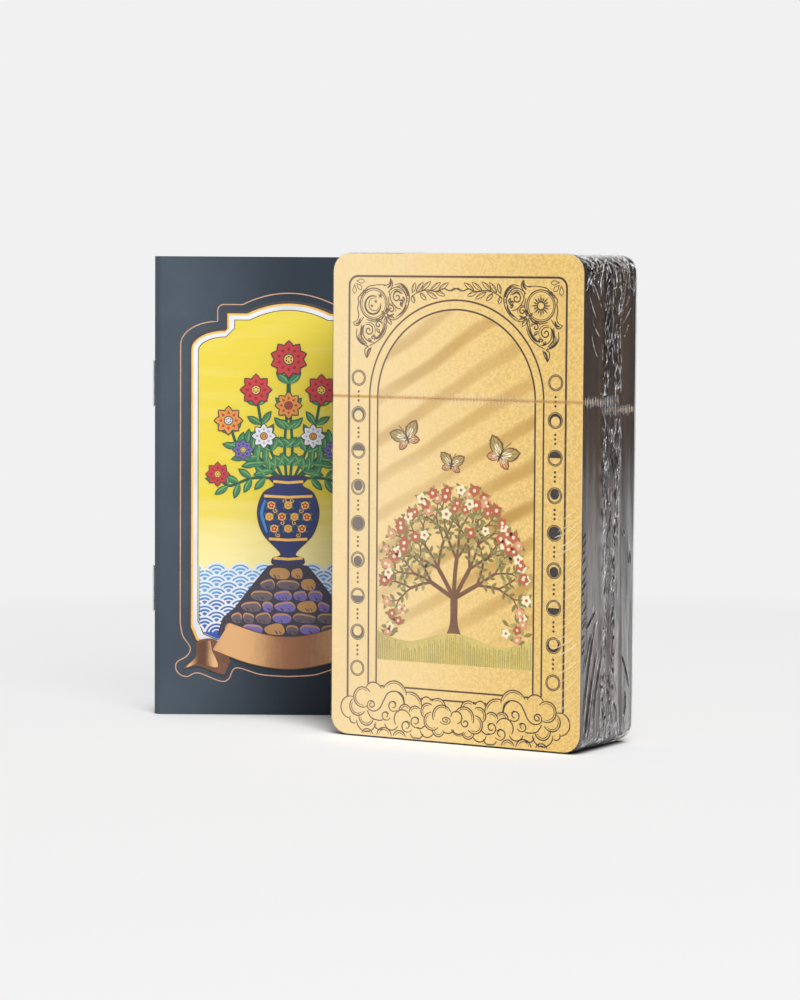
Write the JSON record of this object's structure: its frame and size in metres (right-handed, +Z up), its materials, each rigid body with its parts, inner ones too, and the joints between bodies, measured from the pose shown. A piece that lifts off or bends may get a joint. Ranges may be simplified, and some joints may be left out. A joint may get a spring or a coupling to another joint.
{
  "type": "tarot card deck",
  "caption": "Upright deck of foil tarot cards in a clear film wrap with a tear tape, and a stapled guidebook standing ajar beside it.",
  "frame": {"origin": "middle of the deck's base, on the surface that it stands on", "axes": "+Z up, -Y out of the title card's face, +X to the right as seen from the front"},
  "size_m": [0.13, 0.0582, 0.1208],
  "materials": {
    "gold_foil_card": "printed gold foil",
    "card_stock": "foil faces, dark cut edges",
    "clear_film": "clear glossy film",
    "tear_tape": "clear film tape with a bronze line",
    "cover_paper": "matte printed cover paper",
    "text_paper": "uncoated text paper",
    "staple_wire": "bright steel wire"
  },
  "bodies": {
    "film_sleeve": {"film_sleeve": "clear_film"},
    "pentacles": {"pentacles_packet": "card_stock"},
    "swords": {"swords_packet": "card_stock"},
    "cups": {"cups_packet": "card_stock"},
    "wands": {"wands_packet": "card_stock"},
    "title_card": {"title_card": "gold_foil_card"},
    "film_cap": {"film_cap": "clear_film", "tear_tape": "tear_tape"},
    "guidebook": {"front_cover": "cover_paper", "front_leaf_01": "text_paper", "front_leaf_02": "text_paper", "front_leaf_03": "text_paper", "front_leaf_04": "text_paper", "front_leaf_05": "text_paper", "front_leaf_06": "text_paper", "front_leaf_07": "text_paper", "front_leaf_08": "text_paper", "front_leaf_09": "text_paper", "front_leaf_10": "text_paper"},
    "stitching": {"cover_spine": "cover_paper", "sheet_folds": "text_paper", "lower_staple": "staple_wire", "upper_staple": "staple_wire"},
    "back_cover": {"back_cover": "cover_paper"},
    "major_arcana_00": {"major_arcana_00": "card_stock"},
    "major_arcana_01": {"major_arcana_01": "card_stock"},
    "major_arcana_02": {"major_arcana_02": "card_stock"},
    "major_arcana_03": {"major_arcana_03": "card_stock"},
    "major_arcana_04": {"major_arcana_04": "card_stock"},
    "major_arcana_05": {"major_arcana_05": "card_stock"},
    "major_arcana_06": {"major_arcana_06": "card_stock"},
    "major_arcana_07": {"major_arcana_07": "card_stock"},
    "major_arcana_08": {"major_arcana_08": "card_stock"},
    "major_arcana_09": {"major_arcana_09": "card_stock"},
    "major_arcana_10": {"major_arcana_10": "card_stock"},
    "major_arcana_11": {"major_arcana_11": "card_stock"},
    "major_arcana_12": {"major_arcana_12": "card_stock"},
    "major_arcana_13": {"major_arcana_13": "card_stock"},
    "major_arcana_14": {"major_arcana_14": "card_stock"},
    "major_arcana_15": {"major_arcana_15": "card_stock"},
    "major_arcana_16": {"major_arcana_16": "card_stock"},
    "major_arcana_17": {"major_arcana_17": "card_stock"},
    "major_arcana_18": {"major_arcana_18": "card_stock"},
    "major_arcana_19": {"major_arcana_19": "card_stock"},
    "major_arcana_20": {"major_arcana_20": "card_stock"},
    "major_arcana_21": {"major_arcana_21": "card_stock"},
    "back_leaf_01": {"back_leaf_01": "text_paper"},
    "back_leaf_02": {"back_leaf_02": "text_paper"},
    "back_leaf_03": {"back_leaf_03": "text_paper"},
    "back_leaf_04": {"back_leaf_04": "text_paper"},
    "back_leaf_05": {"back_leaf_05": "text_paper"},
    "back_leaf_06": {"back_leaf_06": "text_paper"},
    "back_leaf_07": {"back_leaf_07": "text_paper"},
    "back_leaf_08": {"back_leaf_08": "text_paper"},
    "back_leaf_09": {"back_leaf_09": "text_paper"},
    "back_leaf_10": {"back_leaf_10": "text_paper"}
  },
  "joints": [
    {"name": "deck_draw", "type": "slide", "parent": "film_sleeve", "child": "pentacles", "axis": [0, 0, 1], "range_m": [0, 0.09]},
    {"name": "swords_slide", "type": "slide", "parent": "pentacles", "child": "swords", "axis": [0, 0, 1], "range_m": [0, 0.04]},
    {"name": "cups_slide", "type": "slide", "parent": "swords", "child": "cups", "axis": [0, 0, 1], "range_m": [0, 0.04]},
    {"name": "wands_slide", "type": "slide", "parent": "cups", "child": "wands", "axis": [0, 0, 1], "range_m": [0, 0.04]},
    {"name": "majors_spread", "type": "slide", "parent": "wands", "child": "major_arcana_00", "axis": [0, 0, 1], "range_m": [0, 0.055]},
    {"name": "title_slide", "type": "slide", "parent": "major_arcana_00", "child": "title_card", "axis": [0, 0, 1], "range_m": [0, 0.06]},
    {"name": "cap_lift", "type": "slide", "parent": "title_card", "child": "film_cap", "axis": [0, 0, 1], "range_m": [0, 0.045]},
    {"name": "guidebook_lift", "type": "slide", "parent": "film_sleeve", "child": "guidebook", "axis": [0, 0, 1], "range_m": [0, 0.13]},
    {"name": "back_cover_turn", "type": "hinge", "parent": "guidebook", "child": "back_cover", "pos_m": [-0.09256, -0.00518, 0], "axis": [0, 0, 1], "range_deg": [-14, 146], "deforming": ["cover_spine", "sheet_folds"]},
    {"name": "major_arcana_01_slide", "type": "slide", "parent": "wands", "child": "major_arcana_01", "axis": [0, 0, 1], "range_m": [0, 0.053]},
    {"name": "major_arcana_02_slide", "type": "slide", "parent": "wands", "child": "major_arcana_02", "axis": [0, 0, 1], "range_m": [0, 0.0505]},
    {"name": "major_arcana_03_slide", "type": "slide", "parent": "wands", "child": "major_arcana_03", "axis": [0, 0, 1], "range_m": [0, 0.048]},
    {"name": "major_arcana_04_slide", "type": "slide", "parent": "wands", "child": "major_arcana_04", "axis": [0, 0, 1], "range_m": [0, 0.0455]},
    {"name": "major_arcana_05_slide", "type": "slide", "parent": "wands", "child": "major_arcana_05", "axis": [0, 0, 1], "range_m": [0, 0.043]},
    {"name": "major_arcana_06_slide", "type": "slide", "parent": "wands", "child": "major_arcana_06", "axis": [0, 0, 1], "range_m": [0, 0.0405]},
    {"name": "major_arcana_07_slide", "type": "slide", "parent": "wands", "child": "major_arcana_07", "axis": [0, 0, 1], "range_m": [0, 0.038]},
    {"name": "major_arcana_08_slide", "type": "slide", "parent": "wands", "child": "major_arcana_08", "axis": [0, 0, 1], "range_m": [0, 0.0355]},
    {"name": "major_arcana_09_slide", "type": "slide", "parent": "wands", "child": "major_arcana_09", "axis": [0, 0, 1], "range_m": [0, 0.033]},
    {"name": "major_arcana_10_slide", "type": "slide", "parent": "wands", "child": "major_arcana_10", "axis": [0, 0, 1], "range_m": [0, 0.0305]},
    {"name": "major_arcana_11_slide", "type": "slide", "parent": "wands", "child": "major_arcana_11", "axis": [0, 0, 1], "range_m": [0, 0.028]},
    {"name": "major_arcana_12_slide", "type": "slide", "parent": "wands", "child": "major_arcana_12", "axis": [0, 0, 1], "range_m": [0, 0.0255]},
    {"name": "major_arcana_13_slide", "type": "slide", "parent": "wands", "child": "major_arcana_13", "axis": [0, 0, 1], "range_m": [0, 0.023]},
    {"name": "major_arcana_14_slide", "type": "slide", "parent": "wands", "child": "major_arcana_14", "axis": [0, 0, 1], "range_m": [0, 0.0205]},
    {"name": "major_arcana_15_slide", "type": "slide", "parent": "wands", "child": "major_arcana_15", "axis": [0, 0, 1], "range_m": [0, 0.018]},
    {"name": "major_arcana_16_slide", "type": "slide", "parent": "wands", "child": "major_arcana_16", "axis": [0, 0, 1], "range_m": [0, 0.0155]},
    {"name": "major_arcana_17_slide", "type": "slide", "parent": "wands", "child": "major_arcana_17", "axis": [0, 0, 1], "range_m": [0, 0.013]},
    {"name": "major_arcana_18_slide", "type": "slide", "parent": "wands", "child": "major_arcana_18", "axis": [0, 0, 1], "range_m": [0, 0.0105]},
    {"name": "major_arcana_19_slide", "type": "slide", "parent": "wands", "child": "major_arcana_19", "axis": [0, 0, 1], "range_m": [0, 0.008]},
    {"name": "major_arcana_20_slide", "type": "slide", "parent": "wands", "child": "major_arcana_20", "axis": [0, 0, 1], "range_m": [0, 0.0055]},
    {"name": "major_arcana_21_slide", "type": "slide", "parent": "wands", "child": "major_arcana_21", "axis": [0, 0, 1], "range_m": [0, 0.003]},
    {"name": "stitching_turn", "type": "hinge", "parent": "guidebook", "child": "stitching", "pos_m": [-0.09256, -0.00518, 0], "axis": [0, 0, 1], "range_deg": [-7.5, 73.5]},
    {"name": "back_leaf_01_turn", "type": "hinge", "parent": "guidebook", "child": "back_leaf_01", "pos_m": [-0.09256, -0.00518, 0], "axis": [0, 0, 1], "range_deg": [-1.77, 13.77]},
    {"name": "back_leaf_02_turn", "type": "hinge", "parent": "guidebook", "child": "back_leaf_02", "pos_m": [-0.09256, -0.00518, 0], "axis": [0, 0, 1], "range_deg": [-3.04, 27.05]},
    {"name": "back_leaf_03_turn", "type": "hinge", "parent": "guidebook", "child": "back_leaf_03", "pos_m": [-0.09256, -0.00518, 0], "axis": [0, 0, 1], "range_deg": [-4.32, 40.32]},
    {"name": "back_leaf_04_turn", "type": "hinge", "parent": "guidebook", "child": "back_leaf_04", "pos_m": [-0.09256, -0.00518, 0], "axis": [0, 0, 1], "range_deg": [-5.59, 53.59]},
    {"name": "back_leaf_05_turn", "type": "hinge", "parent": "guidebook", "child": "back_leaf_05", "pos_m": [-0.09256, -0.00518, 0], "axis": [0, 0, 1], "range_deg": [-6.86, 66.86]},
    {"name": "back_leaf_06_turn", "type": "hinge", "parent": "guidebook", "child": "back_leaf_06", "pos_m": [-0.09256, -0.00518, 0], "axis": [0, 0, 1], "range_deg": [-8.14, 80.14]},
    {"name": "back_leaf_07_turn", "type": "hinge", "parent": "guidebook", "child": "back_leaf_07", "pos_m": [-0.09256, -0.00518, 0], "axis": [0, 0, 1], "range_deg": [-9.41, 93.41]},
    {"name": "back_leaf_08_turn", "type": "hinge", "parent": "guidebook", "child": "back_leaf_08", "pos_m": [-0.09256, -0.00518, 0], "axis": [0, 0, 1], "range_deg": [-10.68, 106.68]},
    {"name": "back_leaf_09_turn", "type": "hinge", "parent": "guidebook", "child": "back_leaf_09", "pos_m": [-0.09256, -0.00518, 0], "axis": [0, 0, 1], "range_deg": [-11.96, 119.95]},
    {"name": "back_leaf_10_turn", "type": "hinge", "parent": "guidebook", "child": "back_leaf_10", "pos_m": [-0.09256, -0.00518, 0], "axis": [0, 0, 1], "range_deg": [-13.23, 133.23]}
  ],
  "couplings": [
    {"joint": "major_arcana_01_slide", "follows": "majors_spread", "ratio": 0.95454},
    {"joint": "major_arcana_02_slide", "follows": "majors_spread", "ratio": 0.90909},
    {"joint": "major_arcana_03_slide", "follows": "majors_spread", "ratio": 0.86364},
    {"joint": "major_arcana_04_slide", "follows": "majors_spread", "ratio": 0.81818},
    {"joint": "major_arcana_05_slide", "follows": "majors_spread", "ratio": 0.77273},
    {"joint": "major_arcana_06_slide", "follows": "majors_spread", "ratio": 0.72727},
    {"joint": "major_arcana_07_slide", "follows": "majors_spread", "ratio": 0.68182},
    {"joint": "major_arcana_08_slide", "follows": "majors_spread", "ratio": 0.63636},
    {"joint": "major_arcana_09_slide", "follows": "majors_spread", "ratio": 0.59091},
    {"joint": "major_arcana_10_slide", "follows": "majors_spread", "ratio": 0.54546},
    {"joint": "major_arcana_11_slide", "follows": "majors_spread", "ratio": 0.5},
    {"joint": "major_arcana_12_slide", "follows": "majors_spread", "ratio": 0.45454},
    {"joint": "major_arcana_13_slide", "follows": "majors_spread", "ratio": 0.40909},
    {"joint": "major_arcana_14_slide", "follows": "majors_spread", "ratio": 0.36364},
    {"joint": "major_arcana_15_slide", "follows": "majors_spread", "ratio": 0.31818},
    {"joint": "major_arcana_16_slide", "follows": "majors_spread", "ratio": 0.27273},
    {"joint": "major_arcana_17_slide", "follows": "majors_spread", "ratio": 0.22727},
    {"joint": "major_arcana_18_slide", "follows": "majors_spread", "ratio": 0.18182},
    {"joint": "major_arcana_19_slide", "follows": "majors_spread", "ratio": 0.13636},
    {"joint": "major_arcana_20_slide", "follows": "majors_spread", "ratio": 0.090909},
    {"joint": "major_arcana_21_slide", "follows": "majors_spread", "ratio": 0.045455},
    {"joint": "stitching_turn", "follows": "back_cover_turn", "ratio": 0.5},
    {"joint": "back_leaf_01_turn", "follows": "back_cover_turn", "ratio": 0.090909},
    {"joint": "back_leaf_02_turn", "follows": "back_cover_turn", "ratio": 0.18182},
    {"joint": "back_leaf_03_turn", "follows": "back_cover_turn", "ratio": 0.27273},
    {"joint": "back_leaf_04_turn", "follows": "back_cover_turn", "ratio": 0.36364},
    {"joint": "back_leaf_05_turn", "follows": "back_cover_turn", "ratio": 0.45454},
    {"joint": "back_leaf_06_turn", "follows": "back_cover_turn", "ratio": 0.54546},
    {"joint": "back_leaf_07_turn", "follows": "back_cover_turn", "ratio": 0.63636},
    {"joint": "back_leaf_08_turn", "follows": "back_cover_turn", "ratio": 0.72727},
    {"joint": "back_leaf_09_turn", "follows": "back_cover_turn", "ratio": 0.81818},
    {"joint": "back_leaf_10_turn", "follows": "back_cover_turn", "ratio": 0.90909}
  ]
}
